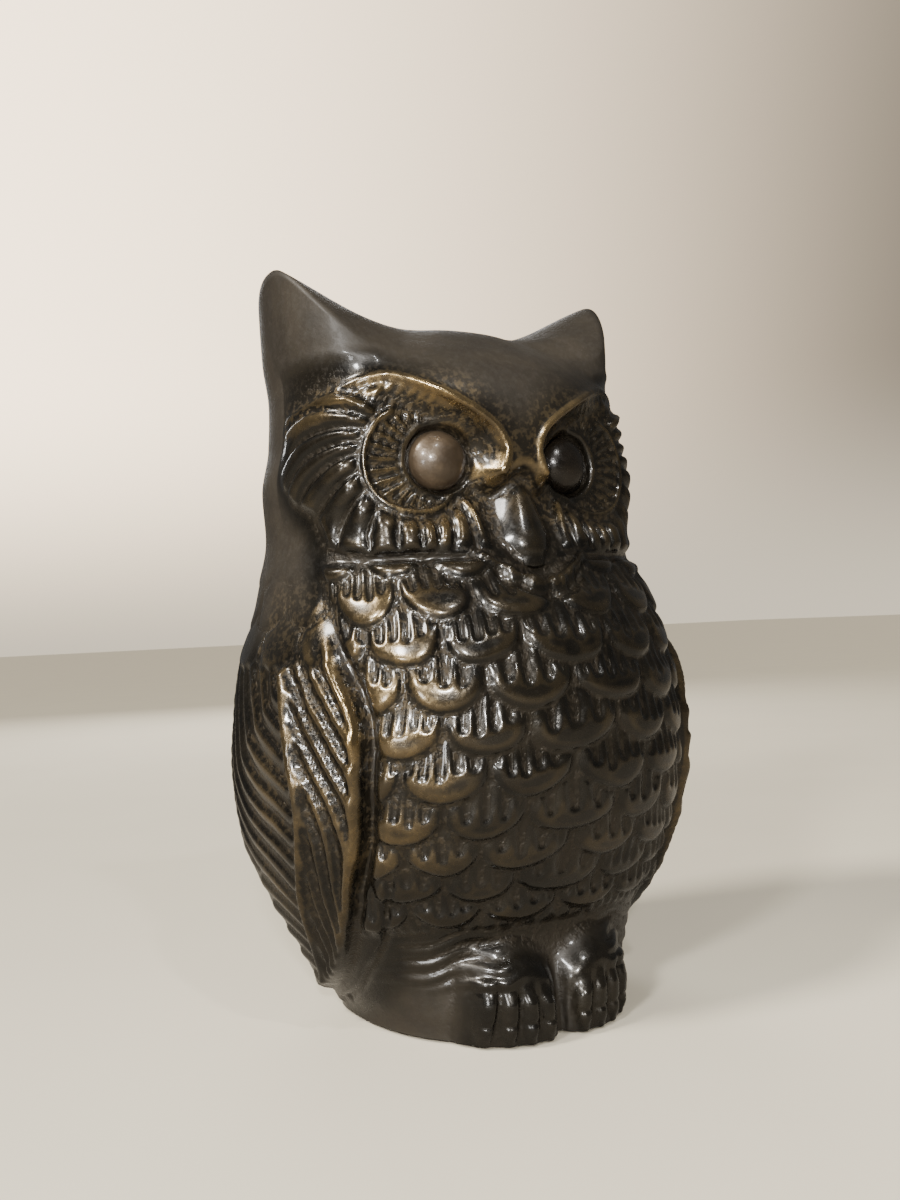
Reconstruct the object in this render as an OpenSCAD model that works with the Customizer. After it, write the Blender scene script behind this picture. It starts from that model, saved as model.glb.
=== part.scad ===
// Owl figurine: two hollow castings brazed on a seam at the sides, two eye studs
// pressed into the face, a base plate held by three screws, and a felt pad.
// The owl looks along -Y, its right wing is on -X, and it rests on z = 0.

/* [Figure] */
// Overall height, from the resting face to the ear tips
height = 80; // [64:1:100]
// Overall width, across the folded wings
width = 48.4; // [40:0.2:60]
// Depth of the front casting, from the seam to the breast
front_depth = 23.6; // [20:0.2:29]
// Depth of the back casting, from the seam to the back
back_depth = 20.8; // [17.6:0.2:26]

/* [Castings] */
// Wall thickness of the body
wall = 3; // [2.4:0.1:3.8]
// Wall thickness of the foot, where the screws go in
foot_wall = 5; // [4.6:0.1:6]
// Height of the thick foot
foot_h = 9; // [7:0.5:12]
// Thickness of the rim round the base plate
rim_w = 1.2; // [0.8:0.1:1.5]
// How far the beak stands out of the face
beak_out = 3.4; // [2:0.1:4.5]
// How deep the eye sockets are sunk
socket_depth = 3.2; // [2:0.1:4]
// How far the toes stand out of the plinth
toe_out = 2.2; // [1.2:0.1:3]
// How far the folded wings stand out of the breast
wing_out = 0.9; // [0.4:0.1:1.4]
// How far the tail stands out of the back
tail_out = 4; // [2:0.5:6]

/* [Eyes] */
// Diameter of an eye stud's dome
eye_d = 6.2; // [5:0.1:7.4]
// Height of the dome
eye_dome = 2; // [1.2:0.1:2.6]
// Diameter of the stud's stem
stem_d = 2.4; // [1.6:0.1:3]
// Length of the stem
stem_l = 3; // [2:0.1:4]
// Gap round the dome in its counterbore
eye_gap = 0.25; // [0.1:0.05:0.4]
// How deep the dome's edge sits in its counterbore
eye_sink = 0.5; // [0.2:0.1:0.8]
// Metal left between the end of a stem and the hollow
eye_backing = 1.2; // [0.8:0.1:2]
// Angle that each eye turns outwards
eye_turn = 12; // [0:1:20]

/* [Base] */
// Thickness of the base plate
plate_t = 1.4; // [1:0.1:2.5]
// Gap round the base plate and the felt
plate_gap = 0.2; // [0.1:0.05:0.4]
// Thickness of the felt pad
felt_t = 1.2; // [0.8:0.1:2]
// How far the felt stands proud of the rim
felt_proud = 0.4; // [0.2:0.1:0.6]

/* [Screws] */
// Diameter of a screw's thread
screw_d = 2; // [1.6:0.1:2.5]
// Diameter of its countersunk head
head_d = 3.6; // [3:0.1:4]
// Length of a screw, head included
screw_l = 6; // [4:0.5:7]
// Clearance round the thread in the base plate
screw_gap = 0.15; // [0.1:0.05:0.3]
// Width and depth of the screwdriver slot
slot_w = 0.5; // [0.4:0.1:0.7]

/* [Hidden] */
$fn = 48;

SIDE_RINGS = 32;      // rings from the rim to the edge of the crown
CAP_RINGS = 6;        // rings from there to the middle of the crown
COLUMNS = 40;         // steps from one side of a casting to the other
SQUARENESS = 2.3;     // exponent of every section: 2 is an ellipse, more is squarer

half_w = width / 2;
seam_y = (front_depth - back_depth) / 2;   // centres the figure on y = 0
rim_z = felt_proud;
plate_z = felt_t;
seat_z = plate_z + plate_t;

// Places up the figure, all tied to its height
crown_z = 0.932 * height;    // middle of the saddle between the ears
brow_z = 0.85 * height;      // edge of the crown at the forehead and nape
lift_z = 0.75 * height;      // where the rings begin to rise to the ears
eye_z = 0.73 * height;
beak_z = 0.635 * height;
cavity_z = 0.79 * height;    // top of the hollow
neck_z = 0.6 * height;
eye_x = 0.325 * half_w;

// The figure's stations, [height share, half-width share, front share, back share]
STATIONS = [
    [0.000, 0.603, 0.771, 0.476],
    [0.050, 0.665, 0.763, 0.635],
    [0.113, 0.769, 0.733, 0.798],
    [0.175, 0.876, 0.784, 0.913],
    [0.250, 0.971, 0.898, 0.976],
    [0.338, 1.000, 0.983, 1.000],
    [0.425, 0.975, 1.000, 0.986],
    [0.513, 0.921, 0.928, 0.971],
    [0.588, 0.872, 0.771, 0.971],
    [0.650, 0.835, 0.690, 0.947],
    [0.713, 0.851, 0.712, 0.899],
    [0.775, 0.814, 0.700, 0.875],
    [0.838, 0.802, 0.668, 0.875],
    [0.900, 0.829, 0.640, 0.860],
    [1.000, 0.843, 0.600, 0.820]
];

// Slope of one column at a station, flat at every peak so that nothing overshoots
function station_slope(i, c) =
    i <= 0 || i >= len(STATIONS) - 1 ? 0 :
    let (before = (STATIONS[i][c] - STATIONS[i - 1][c]) / (STATIONS[i][0] - STATIONS[i - 1][0]),
         after = (STATIONS[i + 1][c] - STATIONS[i][c]) / (STATIONS[i + 1][0] - STATIONS[i][0]))
    before * after <= 0 ? 0 : 2 * before * after / (before + after);

// A column read at height share u, as a smooth cubic through the stations
function station_at(u, c, i = 0) =
    i < len(STATIONS) - 2 && u > STATIONS[i + 1][0] ? station_at(u, c, i + 1) :
    let (step = STATIONS[i + 1][0] - STATIONS[i][0],
         t = max(0, min(1, (u - STATIONS[i][0]) / step)),
         from = STATIONS[i][c], to = STATIONS[i + 1][c])
    from * (2 * t * t * t - 3 * t * t + 1) + to * (3 * t * t - 2 * t * t * t)
    + step * station_slope(i, c) * (t * t * t - 2 * t * t + t)
    + step * station_slope(i + 1, c) * (t * t * t - t * t);

function half_width_at(z) = half_w * station_at(z / height, 1);
function depth_at(z, back) = back ? back_depth * station_at(z / height, 3) : front_depth * station_at(z / height, 2);

// Half of a squared ellipse: turn runs from -90 at one seam to 90 at the other
function across(turn) = sign(turn) * pow(abs(sin(turn)), 2 / SQUARENESS);
function along(turn) = pow(max(0, cos(turn)), 2 / SQUARENESS);
// Columns stand closer together in front, where the beak and the toes are
function column_turn(j) = let (t = 2 * j / COLUMNS - 1)
    45 * t + 0.5 * sign(t) * asin(pow(abs(t), SQUARENESS / 2));
function side_of(back) = back ? 1 : -1;
function ring_point(half, depth, turn, z, back) =
    [half * across(turn), seam_y + side_of(back) * depth * along(turn), z];

// Rises smoothly from 0 to 1 as x goes from low to high
function rise(low, high, x) = let (t = max(0, min(1, (x - low) / (high - low)))) t * t * (3 - 2 * t);
// A round bump, 1 in the middle and 0 from its edge outwards
function bump(dx, dz) = let (r2 = dx * dx + dz * dz) r2 >= 1 ? 0 : (1 - r2) * (1 - r2);
// A flat-floored dish, 1 inside and 0 outside
function dish(dx, dz) = 1 - rise(0.45, 1, sqrt(dx * dx + dz * dz));

// How far the front stands out of its plain section
function front_relief(x, z, turn) =
    beak_out * rise(0, 0.6, bump(x / (0.2 * half_w), (z - beak_z) / (0.09 * height)))
    - socket_depth * dish((abs(x) - 0.43 * half_w) / (0.3 * half_w), (z - eye_z) / (0.09 * height))
    + toe_out * rise(0, 0.6, bump((abs(x) - 0.19 * half_w) / (0.19 * half_w), (z - 0.04 * height) / (0.1 * height)))
    + wing_relief(z, turn);

// The folded wings begin in a step, and their lower edge sweeps back to the plinth
function wing_edge(z) = 48 + 34 * rise(0.2 * height, 0.03 * height, z) + 14 * rise(0.42 * height, 0.55 * height, z);
function wing_relief(z, turn) =
    wing_out * rise(wing_edge(z) - 4, wing_edge(z) + 3, abs(turn)) * rise(0.6 * height, 0.5 * height, z)
    * rise(90, 75, abs(turn));

// The tail comes down behind the plinth
function back_relief(x, z) = tail_out * rise(0.5 * half_w, 0.26 * half_w, abs(x))
    * rise(0.24 * height, 0.08 * height, z);

// The top: a saddle between the ears, whose edge rises from the brow to the ear tips.
// The ears have a steep facet in front and a fuller back.
function saddle_z(x) = crown_z + (height - crown_z) * rise(0.3, 1, abs(x) / half_width_at(height));
function edge_z(turn, back) = brow_z + (height - brow_z) * pow(abs(across(turn)), back ? 4 : 6);

function side_point(v, turn, back) =
    let (level = rim_z + v * (brow_z - rim_z),
         z = level + (edge_z(turn, back) - brow_z) * pow(max(0, (level - lift_z) / (brow_z - lift_z)), 2),
         p = ring_point(half_width_at(z), depth_at(z, back), turn, z, back),
         relief = back ? back_relief(p[0], z) : front_relief(p[0], z, turn))
    [p[0], p[1] + side_of(back) * relief * rise(0, 0.4, along(turn)), z];

function crown_point(s, turn, back) =
    let (edge = side_point(1, turn, back), x = s * edge[0])
    [x, seam_y + s * (edge[1] - seam_y), saddle_z(x) - (saddle_z(edge[0]) - edge[2]) * pow(s, 3)];

function outer_ring(i, back) =
    [for (j = [0 : COLUMNS]) let (turn = column_turn(j))
        i <= SIDE_RINGS ? side_point(i / SIDE_RINGS, turn, back)
        : crown_point(1 - (i - SIDE_RINGS) / CAP_RINGS, turn, back)];

// Outline of the plinth, drawn in by inset, where the plate, felt and screws sit
function foot_point(inset, turn, z, back) =
    ring_point(half_width_at(0) - inset, depth_at(0, back) - inset, turn, z, back);

// The hollow: the foot is a straight well, and above it the wall is even, thicker behind the face
face_wall = socket_depth + eye_sink + stem_l + eye_backing;
function wall_at(z, back) = wall + (back ? 0 : (face_wall - wall) * rise(neck_z - 4, neck_z + 3, z));
function hollow_point(z, turn, back) =
    let (open = rise(foot_h, foot_h + 5, z),
         half = half_width_at(z) - wall, depth = depth_at(z, back) - wall_at(z, back),
         well_half = half_width_at(0) - foot_wall, well_depth = depth_at(0, back) - foot_wall)
    ring_point(well_half + (half - well_half) * open, well_depth + (depth - well_depth) * open, turn, z, back);

HOLLOW_SIDE = SIDE_RINGS - 3;
function inner_ring(i, back) =
    [for (j = [0 : COLUMNS]) let (turn = column_turn(j))
        i == 0 ? foot_point(rim_w, turn, rim_z, back)
        : i == 1 ? foot_point(rim_w, turn, seat_z, back)
        : i == 2 ? foot_point(foot_wall, turn, seat_z, back)
        : i <= HOLLOW_SIDE ? hollow_point(foot_h + (cavity_z - 5 - foot_h) * (i - 3) / (HOLLOW_SIDE - 3), turn, back)
        : let (s = (i - HOLLOW_SIDE) / (SIDE_RINGS + CAP_RINGS - HOLLOW_SIDE),
               p = hollow_point(cavity_z - 5, turn, back))
          [p[0] * cos(90 * s), seam_y + (p[1] - seam_y) * cos(90 * s), cavity_z - 5 + 5 * sin(90 * s)]];

// One casting: outer and inner surfaces, joined by the seam at each side and the rim below
module casting(back) {
    rings = SIDE_RINGS + CAP_RINGS;
    row = COLUMNS + 1;
    outer = [for (i = [0 : rings - 1]) each outer_ring(i, back)];
    inner = [for (i = [0 : rings - 1]) each inner_ring(i, back)];
    outer_top = [0, seam_y, crown_z];
    inner_top = [0, seam_y, cavity_z];
    shift = len(outer);
    top = 2 * shift;
    skin = [for (i = [0 : rings - 2], j = [0 : COLUMNS - 1]) let (a = i * row + j)
        each [[a, a + 1, a + row + 1], [a, a + row + 1, a + row]]];
    lining = [for (f = skin) [f[0] + shift, f[2] + shift, f[1] + shift]];
    last = (rings - 1) * row;
    cap = [for (j = [0 : COLUMNS - 1]) each [[last + j, last + j + 1, top],
                                             [last + j + 1 + shift, last + j + shift, top + 1]]];
    rim = [for (j = [0 : COLUMNS - 1]) each [[j + 1, j, j + shift], [j + 1, j + shift, j + 1 + shift]]];
    seam = [for (i = [0 : rings - 2]) let (a = i * row, b = a + COLUMNS)
        each [[a, a + row, a + row + shift], [a, a + row + shift, a + shift],
              [b + row, b, b + shift], [b + row, b + shift, b + row + shift]]];
    crest = [[last, top, top + 1], [last, top + 1, last + shift],
             [top, last + COLUMNS, last + COLUMNS + shift], [top, last + COLUMNS + shift, top + 1]];
    faces = concat(skin, lining, cap, rim, seam, crest);
    polyhedron(points = concat(outer, inner, [outer_top, inner_top]),
               faces = back ? [for (f = faces) [f[0], f[2], f[1]]] : faces);
}

// The eye studs' seats, sunk in the floors of the sockets
eye_share = pow(1 - pow(eye_x / half_width_at(eye_z), SQUARENESS), 1 / SQUARENESS);
function eye_seat(side) =
    [side * eye_x, seam_y - depth_at(eye_z, false) * eye_share + socket_depth + eye_sink, eye_z];
module at_eye(side) translate(eye_seat(side)) rotate([90, 0, side * eye_turn]) children();

// Three screws: two under the front casting, one under the back
screw_inset = (rim_w + foot_wall) / 2;
FRONT_SCREW_TURNS = [-38, 38];
BACK_SCREW_TURNS = [0];
module at_front_screws() for (turn = FRONT_SCREW_TURNS) translate(foot_point(screw_inset, turn, plate_z, false)) children();
module at_back_screws() for (turn = BACK_SCREW_TURNS) translate(foot_point(screw_inset, turn, plate_z, true)) children();
module screw_hole() cylinder(d = screw_d, h = screw_l + 0.5);

module front_shell() color([0.24, 0.2, 0.15]) difference() {
    casting(false);
    for (side = [-1, 1]) at_eye(side) {
        cylinder(d = eye_d + 2 * eye_gap, h = eye_sink + socket_depth);
        translate([0, 0, -stem_l]) cylinder(d = stem_d, h = stem_l + 1);
    }
    at_front_screws() screw_hole();
}

module back_shell() color([0.22, 0.18, 0.14]) difference() {
    casting(true);
    at_back_screws() screw_hole();
}

// A dome on a stem, pressed into the face
module eye_stud(side) color([0.42, 0.3, 0.2]) at_eye(side) {
    dome_r = (eye_d * eye_d / 4 + eye_dome * eye_dome) / (2 * eye_dome);
    intersection() {
        translate([0, 0, eye_dome - dome_r]) sphere(r = dome_r);
        cylinder(d = eye_d, h = eye_dome);
    }
    translate([0, 0, -stem_l]) cylinder(d = stem_d, h = stem_l);
}
module eye_right() eye_stud(-1);
module eye_left() eye_stud(1);

// A flat sheet of the plinth's outline, drawn in by inset
module foot_sheet(inset, thickness) linear_extrude(thickness) polygon(concat(
    [for (j = [0 : COLUMNS]) let (p = foot_point(inset, column_turn(j), 0, false)) [p[0], p[1]]],
    [for (j = [1 : COLUMNS - 1]) let (p = foot_point(inset, column_turn(COLUMNS - j), 0, true)) [p[0], p[1]]]));

countersink = (head_d - screw_d) / 2;
module base_plate() color([0.6, 0.47, 0.24]) difference() {
    translate([0, 0, plate_z]) foot_sheet(rim_w + plate_gap, plate_t);
    at_front_screws() plate_hole();
    at_back_screws() plate_hole();
}
module plate_hole() {
    translate([0, 0, -1]) cylinder(d = screw_d + 2 * screw_gap, h = plate_t + 2);
    cylinder(d1 = head_d + 2 * screw_gap, d2 = screw_d + 2 * screw_gap, h = countersink);
}

module plate_screw() difference() {
    union() {
        cylinder(d1 = head_d, d2 = screw_d, h = countersink);
        cylinder(d = screw_d, h = screw_l);
    }
    translate([-head_d, -slot_w / 2, -slot_w]) cube([2 * head_d, slot_w, 2 * slot_w]);
}
module plate_screws() color([0.72, 0.6, 0.34]) {
    at_front_screws() plate_screw();
    at_back_screws() plate_screw();
}

module felt_pad() color([0.11, 0.2, 0.14]) foot_sheet(rim_w + plate_gap, felt_t);

front_shell();
back_shell();
eye_right();
eye_left();
base_plate();
plate_screws();
felt_pad();
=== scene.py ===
# %% [markdown]
# # A cast bronze owl
# The figurine is a sculpted skin of bronze, cast in two halves and brazed together at its
# sides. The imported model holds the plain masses. This script lays the carving over them:
# face, scale feathers, wings, claws and tail, and then the patina.

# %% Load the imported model
import bpy
import numpy as np
from mathutils import Matrix, Vector


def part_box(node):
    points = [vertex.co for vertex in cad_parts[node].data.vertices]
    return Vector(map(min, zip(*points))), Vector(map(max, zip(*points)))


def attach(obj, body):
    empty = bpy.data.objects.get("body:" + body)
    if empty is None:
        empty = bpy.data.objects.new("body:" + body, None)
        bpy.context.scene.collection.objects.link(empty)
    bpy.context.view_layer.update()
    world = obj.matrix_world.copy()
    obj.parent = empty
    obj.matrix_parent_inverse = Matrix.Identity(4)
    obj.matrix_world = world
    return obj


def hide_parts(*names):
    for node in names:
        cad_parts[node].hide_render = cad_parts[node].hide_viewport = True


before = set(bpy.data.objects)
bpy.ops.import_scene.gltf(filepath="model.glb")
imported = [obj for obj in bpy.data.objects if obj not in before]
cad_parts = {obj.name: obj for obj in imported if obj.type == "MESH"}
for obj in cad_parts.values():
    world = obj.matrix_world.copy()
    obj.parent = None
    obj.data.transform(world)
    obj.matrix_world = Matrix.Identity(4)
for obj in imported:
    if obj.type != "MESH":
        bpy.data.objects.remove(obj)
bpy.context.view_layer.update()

MM = 0.001
print("nodes:", sorted(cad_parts))

# %% [markdown]
# ## Driving sizes
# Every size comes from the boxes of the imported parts, in millimetres, so the carving
# follows the castings if they change.

# %% Sizes of the castings
front_low, front_high = (np.array(corner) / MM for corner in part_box("front_shell"))
_, back_high = (np.array(corner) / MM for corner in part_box("back_shell"))
_, plate_high = (np.array(corner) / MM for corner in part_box("base_plate"))
felt_low, felt_high = (np.array(corner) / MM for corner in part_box("felt_pad"))
height = front_high[2]
half_width = front_high[0]
seam_y = front_high[1]
front_depth = seam_y - front_low[1]
back_depth = back_high[1] - seam_y
rim_z = front_low[2]
print(f"height {height:.1f}, half width {half_width:.1f}, front {front_depth:.1f}, back {back_depth:.1f} mm")

# %% [markdown]
# ## The plain form
# A lathe could not make this body, because it is wide, flat-backed and eared. It is a stack
# of squared ellipses instead: a few stations up the figure give the half width and the
# depths in front and behind, and a smooth cubic runs through them.

# %% Stations up the figure
SQUARENESS = 2.3
STATIONS = np.array([  # height share, half-width share, front share, back share
    [0.000, 0.603, 0.771, 0.476],
    [0.050, 0.665, 0.763, 0.635],
    [0.113, 0.769, 0.733, 0.798],
    [0.175, 0.876, 0.784, 0.913],
    [0.250, 0.971, 0.898, 0.976],
    [0.338, 1.000, 0.983, 1.000],
    [0.425, 0.975, 1.000, 0.986],
    [0.513, 0.921, 0.928, 0.971],
    [0.588, 0.872, 0.771, 0.971],
    [0.650, 0.835, 0.690, 0.947],
    [0.713, 0.851, 0.712, 0.899],
    [0.775, 0.814, 0.700, 0.875],
    [0.838, 0.802, 0.668, 0.875],
    [0.900, 0.829, 0.640, 0.860],
    [1.000, 0.843, 0.600, 0.820]])
crown_z = 0.932 * height    # the crown in the middle of the head
brow_z = 0.85 * height      # the crown's edge at the brow and the nape
lift_z = 0.75 * height      # where the rings start to lift towards the ears


def rise(low, high, x):
    """A smooth step: 0 at low, 1 at high, level at both ends."""
    t = np.clip((x - low) / (high - low), 0, 1)
    return t * t * (3 - 2 * t)


def station(z, column):
    """A smooth cubic through one column of the stations, flat at every peak."""
    at, value = STATIONS[:, 0], STATIONS[:, column]
    chord = np.diff(value) / np.diff(at)
    both = chord[:-1] * chord[1:]
    slope = np.zeros(len(at))
    slope[1:-1] = np.where(both > 0, 2 * both / np.where(both > 0, chord[:-1] + chord[1:], 1), 0)
    share = np.clip(z / height, 0, 1)
    i = np.clip(np.searchsorted(at, share) - 1, 0, len(at) - 2)
    step = at[i + 1] - at[i]
    t = (share - at[i]) / step
    return (value[i] * (2 * t**3 - 3 * t**2 + 1)
            + value[i + 1] * (3 * t**2 - 2 * t**3)
            + step * slope[i] * (t**3 - 2 * t**2 + t) + step * slope[i + 1] * (t**3 - t**2))


def across(turn):
    """Share of the half width at a turn in degrees, on a squared ellipse."""
    sine = np.sin(np.radians(turn))
    return np.sign(sine) * np.abs(sine) ** (2 / SQUARENESS)


def along(turn):
    """Share of the depth at a turn in degrees, on a squared ellipse."""
    return np.maximum(np.cos(np.radians(turn)), 0) ** (2 / SQUARENESS)


def half_at(z):
    """Half width of the body at a height."""
    return half_width * station(z, 1)


def depth_at(z, back):
    """Depth of the body from the seam at a height."""
    return back_depth * station(z, 3) if back else front_depth * station(z, 2)


# %% [markdown]
# The crown is a saddle. Its edge rises from the brow to the two ear tips, and rings above
# that edge close in on the middle of the head.

# %% Rings of the plain form
EAR_SHARPNESS = {False: 5.2, True: 4}   # in front and behind: how suddenly the edge rises to the ears
SIDE_ROWS, CROWN_ROWS, COLUMNS = 336, 25, 248


def saddle(x):
    """Height of the crown at x: level in the middle, rising to the ear tips."""
    share = np.clip((np.abs(x) / half_at(height) - 0.3) / 0.7, 0, 1)
    return crown_z + (height - crown_z) * (0.45 * rise(0, 1, share) + 0.55 * share**1.9)


def crown_edge(turn, back):
    """Height of the crown's edge, low at the brow and nape and high at the ears."""
    return brow_z + (height - brow_z) * np.abs(across(turn)) ** EAR_SHARPNESS[back]


def side_ring(level, turn, back):
    """Points on the side: the ring at level, lifted near the top to meet the crown's edge."""
    lift = np.maximum(0, (level - lift_z) / (brow_z - lift_z)) ** 2
    z = level + (crown_edge(turn, back) - brow_z) * lift
    way = 1 if back else -1
    return np.stack([half_at(z) * across(turn), seam_y + way * depth_at(z, back) * along(turn), z], -1)


def crown_ring(share, turn, back):
    """Points on the crown: the edge drawn in to a share of its size, under the saddle."""
    edge = side_ring(np.full_like(turn, brow_z), turn, back)
    x = share * edge[..., 0]
    y = seam_y + share * (edge[..., 1] - seam_y)
    z = saddle(x) - (saddle(edge[..., 0]) - edge[..., 2]) * share**3
    return np.stack([x, y, z], -1)


def column_turns(columns):
    """Turns at equal distances round the body, so that no column is wide at the seam."""
    fine = np.linspace(0, 90, 6001)
    step = np.hypot(np.diff(half_width * across(fine)), np.diff(front_depth * along(fine)))
    way = np.concatenate([[0], np.cumsum(step)])
    quarter = np.interp(np.linspace(0, way[-1], columns // 2 + 1), way, fine)
    return np.concatenate([-quarter[:0:-1], quarter])


def plain_form(back):
    """Grid of one casting's plain outside, from the rim to just short of the crown's middle."""
    turn = column_turns(COLUMNS)[None, :]
    level = np.linspace(rim_z, brow_z, SIDE_ROWS + 1)[:, None]
    share = 1 - np.arange(1, CROWN_ROWS)[:, None] / CROWN_ROWS
    side = side_ring(*np.broadcast_arrays(level, turn), back)
    crown = crown_ring(*np.broadcast_arrays(share, turn), back)
    points = np.concatenate([side, crown])
    return points, np.broadcast_to(turn, points.shape[:2])


def blur(grid, rows, columns):
    """A Gaussian blur of a grid of values, with its edges repeated."""
    for axis, sigma in ((0, rows), (1, columns)):
        if sigma <= 0:
            continue
        reach = int(np.ceil(3 * sigma))
        weight = np.exp(-0.5 * (np.arange(-reach, reach + 1) / sigma) ** 2)
        weight /= weight.sum()
        padding = [(0, 0)] * grid.ndim
        padding[axis] = (reach, reach)
        padded = np.pad(grid, padding, mode="edge")
        take = [slice(None)] * grid.ndim
        total = np.zeros_like(grid)
        for k, w in enumerate(weight):
            take[axis] = slice(k, k + grid.shape[axis])
            total += w * padded[tuple(take)]
        grid = total
    return grid


def grid_normals(points, back):
    """Outward unit normals of a grid, from the cross product of its two directions."""
    up = np.gradient(points, axis=0)
    round_ = np.gradient(points, axis=1)
    normal = np.cross(round_, up) * (-1 if back else 1)
    return normal / np.maximum(np.linalg.norm(normal, axis=-1, keepdims=True), 1e-9)


# %% [markdown]
# ## Carving tools
# The carving is a height over the plain form. A few tools make it: the distance to a smooth
# path, which gives ridges and grooves, and rows of overlapping scales, which give feathers.

# %% Paths and ridges
def smooth_path(points, steps=10):
    """A Catmull-Rom curve through the points, so that a path needs only a few of them."""
    p = np.array(points, float)
    p = np.concatenate([[2 * p[0] - p[1]], p, [2 * p[-1] - p[-2]]])
    t = np.linspace(0, 1, steps, endpoint=False)[:, None]
    pieces = []
    for a, b, c, d in zip(p, p[1:], p[2:], p[3:]):
        square = 2 * a - 5 * b + 4 * c - d
        cube = 3 * b - a - 3 * c + d
        pieces.append(0.5 * (2 * b + (c - a) * t + square * t**2 + cube * t**3))
    return np.concatenate(pieces + [p[-2:-1]])


def path_distance(u, v, path):
    """Distance to a path, the share of its length at the nearest point, and the side (+ is left)."""
    best = np.full(u.shape, 1e9)
    share = np.zeros(u.shape)
    side = np.ones(u.shape)
    lengths = np.linalg.norm(np.diff(path, axis=0), axis=1)
    total = lengths.sum()
    done = 0.0
    for (u0, v0), (u1, v1), length in zip(path, path[1:], lengths):
        du, dv = u1 - u0, v1 - v0
        t = np.clip(((u - u0) * du + (v - v0) * dv) / length**2, 0, 1)
        away = np.hypot(u - u0 - t * du, v - v0 - t * dv)
        near = away < best
        best = np.where(near, away, best)
        share = np.where(near, (done + t * length) / total, share)
        side = np.where(near, np.sign(du * (v - v0) - dv * (u - u0)), side)
        done += length
    return best, share, side


def inside_distance(u, v, outline):
    """Distance to a closed outline, positive inside it, counted by crossings of its edges."""
    distance = np.full(u.shape, 1e9)
    inside = np.zeros(u.shape, bool)
    for (u0, v0), (u1, v1) in zip(outline, np.roll(outline, -1, axis=0)):
        du, dv = u1 - u0, v1 - v0
        if du == dv == 0:
            continue
        t = np.clip(((u - u0) * du + (v - v0) * dv) / (du * du + dv * dv), 0, 1)
        distance = np.minimum(distance, np.hypot(u - u0 - t * du, v - v0 - t * dv))
        crosses = (v0 > v) != (v1 > v)
        where = u0 + (v - v0) * du / (dv if dv else 1e-9)
        inside ^= crosses & (u < where)
    return np.where(inside, distance, -distance)


def ridge(distance, width):
    """A rounded ridge, 1 on its line and almost 0 one width away."""
    return np.exp(-2.5 * (distance / width) ** 2)


# %% Overlapping scales
def scales(u, row, lift):
    """Rows of tongue-shaped scales, each row over the next.

    u counts scales across and row counts rows downwards, with whole numbers at the tips.
    A scale's lower edge is half an ellipse, lift rows deep. Returns the scale's row and
    column, its place across (-1 to 1), its height above its tip in rows, and how far
    inside its edge the point is (0 at the edge, 1 in the middle)."""
    def place(r):
        shifted = u - 0.5 * np.mod(r, 2)
        column = np.round(shifted)
        q = 2 * (shifted - column)
        over = r - row
        drop = np.maximum(0, 1 - over / lift)
        return column, q, over, 1 - np.sqrt(q * q + drop * drop)

    def pick(a, b):
        return np.where(below, b, a)

    upper = np.ceil(row)
    column, q, over, inside = place(upper)
    column_b, q_b, over_b, inside_b = place(upper + 1)
    below = inside < 0
    return (pick(upper, upper + 1), pick(column, column_b), pick(q, q_b), pick(over, over_b),
            np.maximum(pick(inside, inside_b), 0))


def hash_noise(a, b, seed):
    """A repeatable number from 0 to 1 for each pair of whole numbers."""
    value = np.sin(a * 12.9898 + b * 78.233 + seed * 37.719) * 43758.5453
    return value - np.floor(value)


# %% [markdown]
# ## The face
# A brow crest runs from the beak's root over each eye and out to the side of the head.
# Below it the facial disc is cut back to a nearly flat plane, which turns up at the bottom
# like a dish. The pattern on it is laid out in u, the distance round the head from the
# middle, so that it keeps its size where the head turns away to the side.

# %% Facial disc
eye_low, eye_high = (np.array(corner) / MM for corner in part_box("eye_left"))
eye_x, eye_z = (eye_low[0] + eye_high[0]) / 2 + 0.2, (eye_low[2] + eye_high[2]) / 2
BROW = smooth_path([
    (2.6, 56.9), (2.1, 58.0), (1.9, 59.5), (2.9, 61.5), (5.0, 63.2), (7.3, 64.5), (9.7, 65.7),
    (11.5, 66.5), (13.4, 67.0), (15.6, 66.6), (18.0, 65.9), (21.0, 65.1), (24.5, 64.2), (29, 63.2)])
DISC = np.concatenate([BROW, [
    (29.5, 60.0), (28.0, 56.5), (25.5, 54.6), (22.6, 53.4), (21.4, 51.6), (20.8, 49.8), (18.6, 49.1),
    (15.5, 48.7), (12.0, 48.8), (8.0, 48.8), (4.0, 48.6), (-3.0, 48.6), (-3.0, 57.1), (2.3, 57.1)]])
FACE_PLANE = 12.7       # how far the disc's plane lies in front of the seam
SEAT = 12.1             # how far the eye's seat lies in front of the seam
SEAT_SLOPE = 0.2126     # the seat turns outwards by 12 degrees, as the eye does
RING_X, RING_Z, RING_R = 10.9, 58.2, 5.4      # the raised rim between the ribs and the petals
PETAL_EDGES = [-156, -140, -123, -108, -89, -68, -47, -27, -8, 8, 20, 32, 45, 57]   # degrees


def soft_min(a, b, blend):
    """The lesser of two values, rounded where they cross."""
    return 0.5 * (a + b - np.sqrt((a - b) ** 2 + blend**2))


def way_round(x, front):
    """Distance round the flattened front from the middle, for the face's pattern."""
    flat = np.minimum(front, FACE_PLANE)
    step = np.hypot(np.diff(x, axis=1), np.diff(flat, axis=1))
    u = np.concatenate([np.zeros((len(x), 1)), np.cumsum(step, axis=1)], axis=1)
    return np.abs(u - u[:, u.shape[1] // 2][:, None])


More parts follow.
